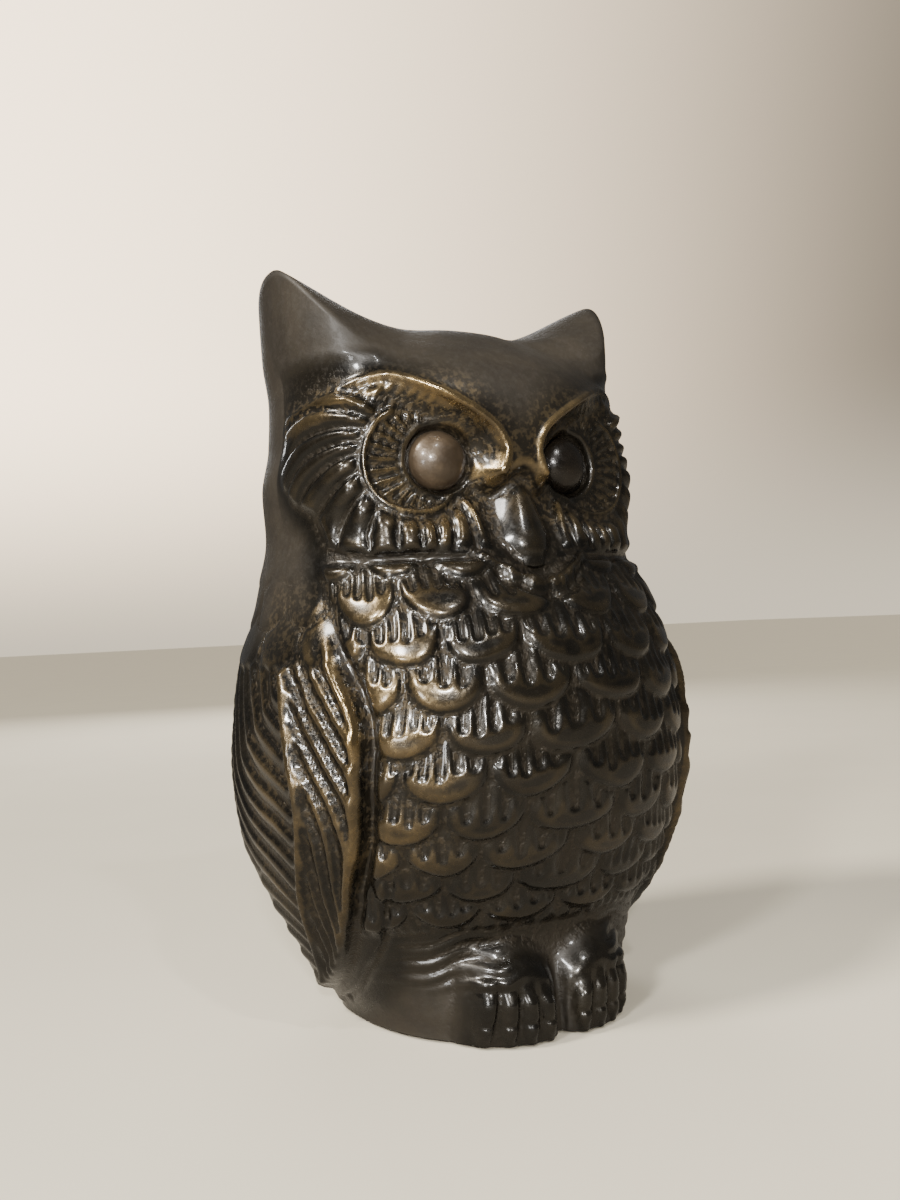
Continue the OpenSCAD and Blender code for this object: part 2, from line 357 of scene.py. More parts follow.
def face_form(x, z, u, front):
    """Depth of the face before the seam: the plain front, cut back inside the disc, and a neck."""
    edge = inside_distance(u, z, DISC)
    brow = path_distance(u, z, BROW)[0]
    low = 54.5 - z
    dish = FACE_PLANE - 0.12 * (x - eye_x) + 0.31 * (low + np.sqrt(low * low + 2))
    plane = soft_min(dish, front + 0.4, 0.5)
    middle = rise(8, 5, u)
    cut = rise(-0.15 - 0.9 * middle, 0.3 + 1.2 * middle, edge) * (1 - 0.92 * rise(2.7, 0.1, brow))
    neck = 0.7 * ridge(z - 47.9, 1.0) * rise(21, 16, u) * rise(5, 8, u) * rise(0.3, -0.3, edge)
    neck += 1.7 * ridge(z - 47.3, 2.6) * ridge(u, 4.4)
    depth = front + (plane - front) * cut - neck
    to_eye = np.hypot(x - eye_x, z - eye_z)
    seat = SEAT - SEAT_SLOPE * (x - eye_x)
    return depth + (seat - depth) * rise(3.6, 3.15, to_eye) * (z > 50), edge


def face_pattern(x, z, u, edge):
    """Ribs round the eye, the rim outside them, and petals that turn into long strands above."""
    to_eye = np.hypot(u - eye_x, z - eye_z)
    round_eye = np.degrees(np.arctan2(z - eye_z, u - eye_x))
    r = np.hypot(u - RING_X, z - RING_Z)
    angle = np.degrees(np.arctan2(z - RING_Z, u - RING_X))
    angle = np.where(angle > 110, angle - 360, angle)
    inside = rise(0.0, 0.8, edge)
    rim_on = rise(-150, -120, angle) * rise(80, 62, angle)
    rim = 0.6 * ridge(r - RING_R, 0.5) * rim_on + 0.35 * ridge(to_eye - 3.95, 0.42)
    ribs = 0.55 * np.abs(np.cos(np.radians(round_eye) * 16.5 + 0.2 * np.sin(r))) ** 0.7 - 0.25
    ribs *= rise(4.25, 4.6, to_eye) * rise(RING_R - 0.25, RING_R - 0.7, r)
    out = (r - RING_R) / 5
    start = angle + out * (13 * rise(-88, -60, angle) - 22 * rise(-80, -104, angle))
    phase = np.interp(start, PETAL_EDGES, np.arange(len(PETAL_EDGES)))
    q = 2 * (phase - np.floor(phase)) - 1
    lobe = (1 - np.abs(q) ** 2.6) ** 0.6 + 0.12 * q
    upper = rise(0, 18, start)
    body = rise(-0.02, 0.22, out) * (1 - 0.35 * rise(0.45, 1.0, out) * (1 - upper))
    body *= 1 - upper * rise(1.3, 2.9, out)
    on = rise(-154, -146, start) * rise(56.9, 54, start) * rise(0.05, 0.5, out + 0.05)
    petals = (1.25 * lobe - 0.25) * body * on
    strokes = 0.05 * np.cos(2 * np.pi * (u * 0.9 + z * 0.4)) * upper * (1 - on)
    crest = path_distance(u, z, BROW)[0]
    brow = 0.6 * ridge(crest, 0.5) * rise(33, 27, u) * rise(55.2, 57.0, z)
    brow += 0.3 * ridge(crest - 1.5, 0.45) * rise(31, 26, u) * rise(12, 16, u) * (edge > 0)
    return (rim + ribs + petals + strokes) * inside + brow


# %% [markdown]
# The beak is a separate mass over the face: a drop whose width and depth follow smooth
# curves down its length, hooked at the tip, with a thin lip under it.

# %% Beak
BEAK = smooth_path([  # height of the point, half width, depth of its top in front of the seam
    [57.6, 1.5, 13.6],
    [57.0, 1.9, 14.6],
    [55.6, 2.4, 15.6],
    [53.6, 3.0, 16.6],
    [51.6, 3.8, 17.4],
    [49.8, 4.2, 18.0],
    [48.2, 3.7, 18.0],
    [47.0, 2.4, 17.1],
    [46.3, 0.8, 15.9]])
BEAK_ROOT = 12.0        # depth that the beak's arch springs from
LIP = smooth_path([(-0.5, 45.0), (1.5, 45.2), (3.0, 45.9), (4.6, 47.1), (6.0, 48.2)])


def beak_depth(x, z):
    """A drop: at each height a rounded arch across, as wide and as deep as the curve there."""
    width = np.interp(-z, -BEAK[:, 0], BEAK[:, 1])
    top = np.interp(-z, -BEAK[:, 0], BEAK[:, 2])
    share = np.clip(np.abs(x) / np.maximum(width, 0.01), 0, 1)
    arch = BEAK_ROOT + (top - BEAK_ROOT) * (1 - share**2) ** 0.55
    return np.where((z < BEAK[0, 0]) & (z > BEAK[-1, 0]) & (share < 1), arch, 0)


def chin_relief(x, z):
    """The lip under the beak, a thin crescent."""
    lip = path_distance(np.abs(x), z, LIP)[0]
    return 0.75 * ridge(lip, 0.6) - 0.5 * ridge(lip - 1.1, 0.7) * (z < 48) * rise(6, 4.5, np.abs(x))


# %% [markdown]
# ## Breast and wings
# Ten rows of scales cover the breast. The wings cover the sides: a raised front edge, a
# soft shoulder with cut arcs, and long flight feathers whose vanes slant down from a shaft.

# %% Breast scales
SCALE_TURN = 20.0       # turn that one scale spans
TOP_TIP = 45.9          # height of the first row's tips
ROW = 4.25              # spacing of the upper rows
SHRINK = 0.88           # each lower row is this share of the one above
EVEN_ROWS = 5           # rows before they start to shrink


def breast_row(z):
    """Row count at a height: even rows at first, then rows that shrink towards the plinth."""
    even = (TOP_TIP - z) / ROW
    past = np.clip(1 - (even - EVEN_ROWS) * (1 - SHRINK) / SHRINK, 0.02, None)
    return np.where(even < EVEN_ROWS, even, EVEN_ROWS + np.log(past) / np.log(SHRINK))


def breast_relief(turn, z):
    """Scales with a smooth thick lower edge and three or four slots cut into their upper part."""
    row, column, q, over, inside = scales(turn / SCALE_TURN, breast_row(z), 0.74)
    thick = (1 - np.exp(-inside / 0.085)) * (1 - 0.42 * rise(0.5, 1.6, over))
    thick -= 0.12 * q * q
    count = np.where(hash_noise(row, column, 1) > 0.55, 4, 3)
    pitch = np.where(count == 4, 0.36, 0.46)
    shift = 0.1 * (hash_noise(row, column, 2) - 0.5)
    slant = 0.12 * (hash_noise(row, column, 6) - 0.5)
    slot = (q + shift + slant * over) / pitch + 0.5 * np.mod(count + 1, 2)
    which = np.round(slot)
    foot = 0.43 + 0.2 * hash_noise(row * 5 + which, column, 3) + 0.1 * np.abs(which) / 2
    width = 0.055 + 0.11 * rise(foot, 1.1, over)
    cut = ridge((slot - which) * pitch, 2 * width) * rise(foot, foot + 0.16, over) * (np.abs(q) < 0.84)
    between = ridge((np.abs(slot - which) - 0.5) * pitch, 0.26) * rise(foot, foot + 0.3, over)
    return 0.82 * thick - 0.5 * cut + 0.09 * between


# %% Wings
TURN_MM = 0.42          # millimetres round the body for one degree of turn
VANE_PITCH = 3.9        # spacing of the vanes up the shaft
SCALLOPS = 12           # tips of the shoulder's last row, in 180 degrees


def wing_path(points):
    """A smooth path through points of (turn, height), in millimetres round the body."""
    return smooth_path(points) * np.array([TURN_MM, 1.0])


WING_FRONT = wing_path([
    (69, 49), (65, 45.5), (60, 40.5), (56, 36.9), (52.4, 34.3), (50.3, 31), (50, 26.5), (51, 20.5),
    (54.3, 16.8), (57, 14), (61, 11.7), (65.5, 9.6), (73, 7.2), (84, 4.8), (93, 3.4)])
WING_BACK = wing_path([
    (180, 46), (176, 40), (167, 34), (157, 27), (148, 20), (139, 14), (127, 9), (111, 5.5), (93, 3)])
THIGH_EDGE = wing_path([
    (44, 19), (45.3, 16.6), (48, 13.9), (51.5, 11.2), (58, 9), (66, 7.2), (75, 5), (86, 3)])
SHAFT = wing_path([
    (75.5, 38.5), (73, 33.3), (70.4, 29), (68.4, 25), (69.2, 20.8), (72.2, 16.8), (77, 11.6), (86, 5.6)])


def scalloped(turn, z):
    """Height with the wavy line taken off that ends the shoulder above the long feathers."""
    return z + 1.1 * np.abs(np.sin(np.radians(turn) * SCALLOPS))


def beside(turn, z, path):
    """Distance to a wing's path at a turn and a height, positive on its left."""
    away, _, side = path_distance(turn * TURN_MM, z, path)
    return away * side


def saw_tooth(count, climb, fall):
    """Rises from 0 to 1 over the share climb of each step, then falls back after the share fall."""
    part = np.mod(count, 1)
    return rise(0, climb, part) * rise(1, fall, part)


def wing_relief(turn, z):
    """The folded wing, at a turn from 0 in front to 180 behind: rims, shaft, vanes and quills."""
    w = turn * TURN_MM
    ahead = beside(turn, z, WING_FRONT)
    behind = -beside(turn, z, WING_BACK)
    soft_step = 1.6 * rise(34, 44, z)
    step = 0.95 * rise(-0.35 - soft_step, 0.7 + soft_step, ahead) * rise(45, 38, z)
    step *= rise(-0.4, 0.6, behind + 60 * rise(38, 42, z))
    rim = 0.7 * ridge(ahead - 0.95, 0.85) * rise(42, 36, z) * rise(2, 9, z)
    rim += 0.35 * ridge(behind - 0.8, 0.8) * rise(44, 39, z) * (ahead > 1)
    groove = -0.85 * ridge(ahead + 0.8, 1.15) * rise(41, 35, z) * rise(13, 18, z)
    shaft_away, shaft_share, _ = path_distance(w, z, SHAFT)
    thick = 1.15 - 0.5 * shaft_share
    shaft = 1.1 * thick * ridge(shaft_away, thick) * rise(0, 0.05, shaft_share)
    off = w - np.interp(z, SHAFT[::-1, 1], SHAFT[::-1, 0])
    vane = (z - (1.75 + 0.9 * rise(27, 10, z)) * off) / VANE_PITCH + 0.3
    vane += 0.1 * hand(w, z / 3, 8)
    vanes = 0.75 * saw_tooth(vane, 0.66, 0.76) - 0.27
    vanes += 0.04 * np.cos(2 * np.pi * (z + 0.3 * off) / 1.1 + 4 * hand(w, z, 3))
    quill = (behind + 0.5 * hand(w / 3, z / 6, 5)) / (2.3 + 0.4 * rise(70, 115, turn))
    quills = 0.42 * saw_tooth(quill, 0.7, 0.8) - 0.12
    quills += 0.06 * np.cos(2 * np.pi * (z + 0.8 * behind) / 1.5) * rise(90, 110, turn)
    covered = rise(39.2, 38.0, scalloped(turn, z)) * rise(2.5, 6, z)
    pattern = np.where(off < 0, vanes, quills) * rise(0.7, 1.5, ahead) * rise(0.5, 1.2, behind)
    inner = (pattern - 0.15) * rise(0.3, 1.1, shaft_away) + shaft * rise(0.4, 1.2, ahead)
    thigh = beside(turn, z, THIGH_EDGE)
    band = 0.45 * rise(-0.25, 0.35, thigh) * rise(19, 15, z)
    band -= 0.3 * ridge(thigh + 0.45, 0.5) * rise(18, 15, z)
    return step + rim + groove + inner * covered + band * (turn < 95)


def soft_scales(turn, z):
    """Shallow cut scales on the shoulder, the mantle and the nape, fading upwards."""
    _, _, q, over, inside = scales((180 - turn) / 18.0, (60 - z) / 4.6, 0.66)
    arc = ridge(inside, 0.09) * rise(1.2, 0.7, over + 0.5 * q)
    soft = 0.2 * rise(0, 0.4, inside) * (1 - 0.6 * rise(0.3, 1.4, over)) - 0.3 * arc
    top = 46 + 13 * rise(100, 150, turn)
    behind = -beside(turn, z, WING_BACK)
    below = rise(37.5, 39.5, scalloped(turn, z))
    mantle = rise(0.3, -0.6, behind) * rise(12, 16, z)
    return soft * np.maximum(below, mantle) * rise(top + 3, top - 3, z) * rise(62, 68, turn)


# %% [markdown]
# ## Feet and plinth
# Four toes a side hang over the plinth's front. Each is a ridge with one knuckle that ends
# in a claw. Beside the feet the lowest down feathers make wavy, level grooves.

# %% Feet
FOOT_X = 5.3            # middle of a foot
FOOT_HALF = 4.9         # half its width
FOOT_TOP = 10.9         # height of its top
TOES = 4
TOE_PITCH = 2.15        # spacing of the toes


def feet_relief(x, z):
    """A rounded mass for each foot, split low down into four toes with claws."""
    near = 1 - np.minimum(1, np.abs((x - FOOT_X) / FOOT_HALF)) ** 2.6
    mass = 2.5 * near**0.5 * rise(FOOT_TOP, 7.2, z + 0.09 * (x - FOOT_X) ** 2)
    low = rise(6.9, 4.6, z - 0.25 * (x - FOOT_X))
    toes = np.zeros_like(x)
    half = 1.12 - 0.4 * rise(3.4, 0.6, z)
    knuckle = 1.9 + 0.3 * ridge(z - 4.4, 1.3) - 0.3 * ridge(z - 2.5, 0.4) - 0.8 * rise(1.8, 0.2, z)
    for k in range(TOES):
        centre = FOOT_X + TOE_PITCH * (k - (TOES - 1) / 2) * (1 - 0.12 * rise(2, 7, z))
        toe = knuckle * (1 - np.minimum(1, np.abs((x - centre) / half)) ** 2.2) ** 0.5
        toes = np.maximum(toes, toe)
    return mass * (1 - low) + np.maximum(0.72 * mass, 0.72 * toes + 0.5 * mass) * low


def down_relief(x, z):
    """Wavy level grooves between the last scales and the plinth, beside each foot."""
    wave = z + 0.28 * np.sin(x * 1.1 + 0.8) + 0.012 * x * x
    lines = 0.42 * np.abs(np.cos(np.pi * wave / 1.45)) ** 0.7 - 0.22
    return lines * rise(12.2, 11.0, z) * rise(5.0, 6.4, z) * rise(17, 12, x) * rise(4.0, 7.0, x)


# %% [markdown]
# ## The back
# The back is out of sight on most such figures and is carved more simply: the wings meet
# behind, soft scales cover the mantle between them, and five tail feathers reach the plinth.

# %% Tail
TAIL_HALF = 0.26 * half_width
FEATHER = 3.3           # width of one tail feather


def tail_form(x, z):
    """The tail stands out behind the plinth as a raised panel."""
    return 4.0 * rise(0.5 * half_width, TAIL_HALF, x) * rise(0.24 * height, 0.08 * height, z)


def tail_relief(x, z):
    """Grooves that part the tail into five feathers, with slanted barbs on each."""
    on = rise(0.4 * half_width, TAIL_HALF, x) * rise(16, 12, z)
    split = ridge(x - 1.7, 0.55) + ridge(x - 5.0, 0.55)
    from_shaft = np.abs(np.mod(x + FEATHER / 2, FEATHER) - FEATHER / 2)
    barbs = 0.08 * np.cos(2 * np.pi * (z + 1.1 * from_shaft) / 1.3)
    return (barbs - 0.42 * split) * on


# %% [markdown]
# ## Building a casting
# The carving is added along the surface's normal, except on the face and feet, where it
# moves straight forward so that the beak and toes keep their places. A mask keeps where the
# skin is carved, for the patina. The casting is closed by its inner wall, by the rim below
# and by the flat seam at each side.

# %% Carve one half
def hand(u, v, seed):
    """A slow, repeatable wander between -1 and 1, so that no two scales are cut alike."""
    a = np.sin(0.83 * u + 1.31 * v + seed) + np.sin(1.57 * u - 0.71 * v + 2.1 * seed)
    return 0.5 * (a * 0.6 + 0.8 * np.sin(0.37 * u + 0.53 * v + 3.3 * seed + a))


def carve(back):
    """The carved outside of one casting: its grid, its middle point on the crown, and two masks.

    The masks say where hands have worn the skin, cut back on the far side as painted shade, and where it is
    carved and not plain."""
    plain, turn = plain_form(back)
    past_edge = np.maximum(0, np.arange(len(plain)) - SIDE_ROWS)[:, None]
    middle = (1 - rise(38, 60, np.abs(turn))) * rise(60, 63, plain[..., 2]) * rise(20, 6, past_edge)
    plain = plain + middle[..., None] * (blur(plain, 9, 0) - plain)
    x, z = plain[..., 0], plain[..., 2]
    front = np.abs(plain[..., 1] - seam_y)
    to_side, from_front = np.abs(x), np.abs(turn)
    facing = rise(0, 0.3, along(turn))
    if back:
        form = plain + np.array([0, 1.0, 0]) * (tail_form(to_side, z) * facing)[..., None]
        round_ = 180 - from_front
        swell = (wing_relief(round_, z) + soft_scales(round_, z)) * rise(0, 0.5, z - rim_z)
        swell += tail_relief(to_side, z) * facing
        rub_with_far_shade = 0.5 * ridge(beside(round_, z, WING_BACK) + 0.8, 1.4)
        stands = np.zeros_like(x)
    else:
        u = way_round(x, front)
        depth, edge = face_form(to_side, z, u, front)
        beak = blur(np.maximum(depth, beak_depth(x, z)) - depth, 1.4, 1.2)
        feet = feet_relief(to_side, z)
        depth = depth + beak + feet
        form = plain.copy()
        form[..., 1] -= (depth - front) * rise(0.0, 0.15, along(turn))
        on_breast = rise(0.5, 1.5, -beside(from_front, z, WING_FRONT))
        wander_t = turn + 0.9 * hand(turn / 9, z / 3, 1)
        wander_z = z + 0.35 * hand(turn / 7, z / 3, 2)
        swell = breast_relief(wander_t, wander_z) * on_breast * rise(48.4, 47.0, z) * rise(11.0, 12.6, z)
        swell += wing_relief(from_front, z) + soft_scales(from_front, z) + ledge_relief(to_side, z)
        swell += down_relief(to_side, z) * on_breast + chin_relief(x, z) * (to_side < 8)
        swell += face_pattern(to_side, z, u, edge) * rise(0.0, 0.12, along(turn))
        # Painted shade: the rub is cut to 0.4 on the far side, which lies away from the light, so its gold
        # edges go dark there.
        rub_with_far_shade = rubbed_places(to_side, z, u, from_front, beak, edge) * (1 - 0.6 * rise(-12, 30, turn))
        stands = np.maximum(rise(0.1, 0.9, feet), rise(0.1, 0.6, beak))
    busy = rise(0.01, 0.13, blur(np.abs(swell - blur(swell, 9, 7)), 11, 8))
    busy = np.maximum(busy, blur(stands, 4, 3)) * rise(70.5, 67.5, z)
    normal = grid_normals(blur(form, 2.5, 2.0), back)
    carved = form + normal * blur(swell, 0.8, 0.6)[..., None]
    carved[:, [0, -1], 1] = seam_y
    carved[0, :, 2] = rim_z
    pole = np.array([0, seam_y, crown_z])
    return carved, pole, rub_with_far_shade, busy


def rubbed_places(x, z, u, turn, beak, edge):
    """Where hands and cloths reach first: the brow, the eye's rims, the wing and the breast.

    The beak keeps its dark patina, so it counts a little below zero."""
    crest = path_distance(u, z, BROW)[0]
    ahead = beside(turn, z, WING_FRONT)
    to_eye = np.hypot(u - eye_x, z - eye_z)
    places = [0.9 * rise(2.6, 1.6, crest) * rise(0, 0.3, edge) + 1.1 * ridge(crest, 0.8),
              0.9 * ridge(ahead - 0.9, 1.7) * rise(10, 20, z) * rise(47, 43, z),
              0.65 * rise(3.6, 5.5, to_eye) * rise(10, 6, to_eye),
              0.28 * rise(22, 34, turn) * rise(48, 44, z) * rise(14, 24, z),
              0.2 * rise(62, 66, turn) * rise(40, 34, z) * rise(8, 18, z)]
    return np.max(places, axis=0) - 0.06 * rise(0.1, 0.9, beak)


def ledge_relief(x, z):
    """The small ledge under each ear's front facet."""
    away = path_distance(x, z, np.array([(13.6, 69.1), (17, 69.5), (20.8, 69.3)]))[0]
    return 0.3 * ridge(away, 0.6)


# %% [markdown]
# The inner wall needs far fewer points than the carving. Where the two meet, along the rim
# and the seam, each coarse step faces four fine ones, and small fans of triangles close it.

# %% Close a casting
FAN = 4                     # fine steps to one coarse step
WALL = 3.0
FOOT_WALL = 5.0
FOOT_HIGH = 9.0             # height of the foot's well
FACE_WALL = 7.9             # from the plain front, so the face is left thick enough behind its disc
rebate = half_width * STATIONS[0, 1] - plate_high[0] - 0.2


def hollow(back):
    """Grid of the inner wall: the rebate for the base plate, the foot's well, then the even hollow."""
    turn = column_turns(COLUMNS // FAN)
    rows = (SIDE_ROWS + CROWN_ROWS - 1) // FAN + 1
    top = 0.79 * height
    way = 1 if back else -1

    def ring(half, depth, z):
        y = seam_y + way * depth * along(turn)
        return np.stack([half * across(turn), y, np.full_like(turn, z)], -1)

    foot_half, foot_depth = half_at(np.array(0.0)), depth_at(np.array(0.0), back)
    rings = [ring(foot_half - rebate, foot_depth - rebate, rim_z),
             ring(foot_half - rebate, foot_depth - rebate, plate_high[2]),
             ring(foot_half - FOOT_WALL, foot_depth - FOOT_WALL, plate_high[2])]
    for share in np.linspace(0, 1, rows - 3):
        z = FOOT_HIGH + (top - FOOT_HIGH) * share
        close = np.sqrt(max(0.0, 1 - rise(0.8, 1.0, share) ** 2) + 0.0004)
        opened = rise(FOOT_HIGH, FOOT_HIGH + 5, z)
        wall = WALL if back else WALL + (FACE_WALL - WALL) * rise(0.55 * height, 0.64 * height, z)
        half = (foot_half - FOOT_WALL) * (1 - opened) + (half_at(z) - WALL) * opened
        depth = (foot_depth - FOOT_WALL) * (1 - opened) + (depth_at(z, back) - wall) * opened
        rings.append(ring(half * close, depth * close, z))
    return np.array(rings), np.array([0, seam_y, top + 0.3])


def quads(rows, columns, start):
    """Faces of a grid of points, row by row."""
    a = start + np.arange(rows - 1)[:, None] * columns + np.arange(columns - 1)[None, :]
    return np.stack([a, a + 1, a + columns + 1, a + columns], -1).reshape(-1, 4)


def fans(fine, coarse):
    """Triangles between a fine line of points and one with FAN times fewer steps."""
    a = fine[:-1].reshape(-1, FAN)
    b = fine[1:].reshape(-1, FAN)
    near = np.repeat(coarse[:-1, None], FAN, 1)
    far = np.repeat(coarse[1:, None], FAN, 1)
    apex = np.where(np.arange(FAN) < FAN // 2, near, far)
    small = np.stack([a, b, apex], -1).reshape(-1, 3)
    large = np.stack([a[:, FAN // 2], coarse[1:], coarse[:-1]], -1)
    return np.concatenate([small, large])


def new_mesh(name, points, faces, smooth=True):
    """A mesh object in metres, from points in millimetres and a list of face arrays."""
    mesh = bpy.data.meshes.new(name)
    corners = np.concatenate([f.ravel() for f in faces])
    sizes = np.concatenate([np.full(len(f), f.shape[1]) for f in faces])
    mesh.vertices.add(len(points))
    mesh.vertices.foreach_set("co", (np.asarray(points) * MM).ravel())
    mesh.loops.add(len(corners))
    mesh.loops.foreach_set("vertex_index", corners.astype(np.int32))
    mesh.polygons.add(len(sizes))
    mesh.polygons.foreach_set("loop_start", (np.cumsum(sizes) - sizes).astype(np.int32))
    mesh.polygons.foreach_set("use_smooth", np.full(len(sizes), smooth))
    mesh.update(calc_edges=True)
    piece = bpy.data.objects.new(name, mesh)
    bpy.context.scene.collection.objects.link(piece)
    return piece


def store(piece, name, values):
    """Keep one value a point on a piece's mesh, for its material to read."""
    values = np.asarray(values, np.float32).ravel()
    piece.data.attributes.new(name, "FLOAT", "POINT").data.foreach_set("value", values)


def sculpt_relief(points, back):
    """How far each point stands above the blurred surface, from -1 in recesses to 1 on edges."""
    normal = grid_normals(points, back)
    fine = ((points - blur(points, 2.2, 1.8)) * normal).sum(-1)
    broad = ((points - blur(points, 7.0, 5.5)) * normal).sum(-1)
    return np.clip(fine / 0.05, -1, 1) * 0.55 + np.clip(broad / 0.28, -1, 1) * 0.45


def casting(name, back):
    """One closed half of the owl, with its relief stored for the patina."""
    outer, pole, rub_with_far_shade, busy = carve(back)
    inner, inner_pole = hollow(back)
    rows, columns = outer.shape[:2]
    inner_rows, inner_columns = inner.shape[:2]
    outer_id = np.arange(rows * columns).reshape(rows, columns)
    outer_count = rows * columns
    inner_id = outer_count + np.arange(inner_rows * inner_columns).reshape(inner_rows, inner_columns)
    top = outer_count + inner_rows * inner_columns
    inner_top = top + 1
    last, inner_last = outer_id[-1], inner_id[-1]
    crown = np.stack([last[:-1], last[1:], np.full(columns - 1, top)], -1)
    ceiling = np.stack([inner_last[1:], inner_last[:-1], np.full(inner_columns - 1, inner_top)], -1)
    outward = [quads(rows, columns, 0), crown]
    inward = [quads(inner_rows, inner_columns, outer_count)[:, ::-1], ceiling]
    rim = fans(outer_id[0], inner_id[0])[:, ::-1]
    right = fans(outer_id[:, 0], inner_id[:, 0])
    left = fans(outer_id[:, -1], inner_id[:, -1])[:, ::-1]
    tip = np.array([[last[0], top, inner_last[0]], [top, inner_top, inner_last[0]],
                    [top, last[-1], inner_last[-1]], [inner_top, top, inner_last[-1]]])
    faces = outward + inward + [rim, right, left, tip]
    if back:
        faces = [f[:, ::-1] for f in faces]
    points = np.concatenate([outer.reshape(-1, 3), inner.reshape(-1, 3), [pole, inner_pole]])
    piece = new_mesh(name, points, faces)
    rim_or_seam = np.zeros(len(points), bool)
    rim_or_seam[np.concatenate([outer_id[0], outer_id[:, 0], outer_id[:, -1], [top]])] = True
    ends = np.zeros(2 * len(piece.data.edges), np.int32)
    piece.data.edges.foreach_get("vertices", ends)
    sharp = rim_or_seam[ends.reshape(-1, 2)].all(1)
    piece.data.attributes.new("sharp_edge", "BOOLEAN", "EDGE").data.foreach_set("value", sharp)
    # The plain head and the plinth take less of the relief's shading than the feathers do.
    calm = 1 - 0.6 * rise(64, 68, outer[..., 2]) - 0.6 * rise(11, 6, outer[..., 2])
    rub = blur(rub_with_far_shade, 1.5, 1.5)
    masks = {"relief": sculpt_relief(outer, back) * calm, "rub_with_far_shade": rub, "carved": np.maximum(busy, rub)}
    for mask, values in masks.items():
        store(piece, mask, np.concatenate([values.ravel(), np.zeros(len(points) - outer_count)]))
    print(name, "from", outer.min((0, 1)).round(1), "to", outer.max((0, 1)).round(1), "mm")
    print(name, len(points), "points,", sum((f.shape[1] - 2) * len(f) for f in faces), "triangles")
    return piece


front = casting("owl_front", False)
back = casting("owl_back", True)
for piece, node in ((front, "front_shell"), (back, "back_shell")):
    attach(piece, "root")
    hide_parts(node)

# %% [markdown]
# ## Eyes
# Each eye is a polished stud. Its outline is turned round the stud's own axis: a dome, a
# rounded edge that sits in the counterbore, and a stem. The axis turns a little outwards.

# %% Eye studs
DOME_R, DOME_H = 3.1, 2.0       # radius and height of the dome
STEM_R, STEM_L = 1.2, 3.0       # radius and length of the stem
EYE_TURN = 12.0                 # degrees


def wrapped_faces(rows, columns):
    """Faces of rings of points that close on themselves, with a fan to a pole at each end."""
    i = np.arange(rows - 1)[:, None] * columns
    j = np.arange(columns)[None, :]
    k = (j + 1) % columns
    wall = np.stack([i + j, i + columns + j, i + columns + k, i + k], -1).reshape(-1, 4)
    first_pole, last_ring = rows * columns, (rows - 1) * columns
    first = np.stack([np.full(columns, first_pole), j[0], k[0]], -1)
    last = np.stack([np.full(columns, first_pole + 1), last_ring + k[0], last_ring + j[0]], -1)
    return wall, np.concatenate([first, last])


def stud(name, side):
    """A surface of revolution: the profile (radius, height) carried round the stud's axis."""
    angle = np.linspace(0, np.pi / 2, 25)[1:]
    dome = np.stack([DOME_R * np.sin(angle) ** 0.96, DOME_H * np.cos(angle) ** 1.15], -1)
    profile = np.concatenate([dome, [
        (DOME_R, -0.02), (DOME_R - 0.08, -0.1), (STEM_R + 0.05, -0.1),
        (STEM_R, -0.16), (STEM_R, 0.15 - STEM_L), (STEM_R - 0.15, -STEM_L)]])
    around = np.linspace(0, 2 * np.pi, 97)[:-1]
    radius, level = profile[:, None, 0], profile[:, None, 1]
    ring = np.stack([radius * np.cos(around), radius * np.sin(around), level + 0 * around], -1)
    points = np.concatenate([ring.reshape(-1, 3), [(0, 0, DOME_H), (0, 0, -STEM_L)]])
    low, high = (np.array(corner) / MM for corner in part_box("eye_left" if side > 0 else "eye_right"))
    turn = Matrix.Rotation(np.radians(side * EYE_TURN), 3, "Z") @ Matrix.Rotation(np.pi / 2, 3, "X")
    points = points @ np.array(turn).T
    points += (low + high) / 2 - (points.min(0) + points.max(0)) / 2
    piece = new_mesh(name, points, wrapped_faces(*ring.shape[:2]))
    store(piece, "carved", np.full(len(points), 0.5))
    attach(piece, "root")
    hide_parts("eye_left" if side > 0 else "eye_right")
    return piece


eyes = [stud("eye_stud_right", -1), stud("eye_stud_left", 1)]

# %% [markdown]
# ## Finishes
# Three effects are shared, so each is a node group: the fine grain that a sand casting
# keeps, the patina's wear on high places with dust in low ones, and the marks of a brush.

# %% Shader tools
def feed(tree, made, links):
    """Link sockets to a node's inputs by their names."""
    for name, socket in links.items():
        tree.links.new(socket, made.inputs[name])


def put(tree, kind, links=None, **settings):
    """Add a node: settings name its properties or inputs, and links feed its inputs from sockets."""
    made = tree.nodes.new(kind)
    for name, value in settings.items():
        if hasattr(made, name):
            setattr(made, name, value)
        else:
            made.inputs[name.replace("_", " ")].default_value = value
    feed(tree, made, links or {})
    return made


def maths(tree, operation, *values, clamp=False):
    """One step of arithmetic; MULTIPLY_ADD is the first value times the second, plus the third."""
    made = put(tree, "ShaderNodeMath", operation=operation, use_clamp=clamp)
    for slot, value in enumerate(values):
        if isinstance(value, (int, float)):
            made.inputs[slot].default_value = value
        else:
            tree.links.new(value, made.inputs[slot])
    return made.outputs[0]


def blend(tree, share, a, b):
    """Mix two colours; each may be a socket or a plain (r, g, b)."""
    made = tree.nodes.new("ShaderNodeMix")
    made.data_type = "RGBA"
    tree.links.new(share, made.inputs["Factor"])
    for socket, value in ((made.inputs[6], a), (made.inputs[7], b)):
        if isinstance(value, tuple):
            socket.default_value = (*value, 1)
        else:
            tree.links.new(value, socket)
    return made.outputs[2]


def span(tree, value, low, high):
    """A smooth step of a value, from 0 at low to 1 at high."""
    made = put(tree, "ShaderNodeMapRange", {"Value": value}, interpolation_type="SMOOTHSTEP")
    made.inputs["From Min"].default_value = low
    made.inputs["From Max"].default_value = high
    return made.outputs[0]


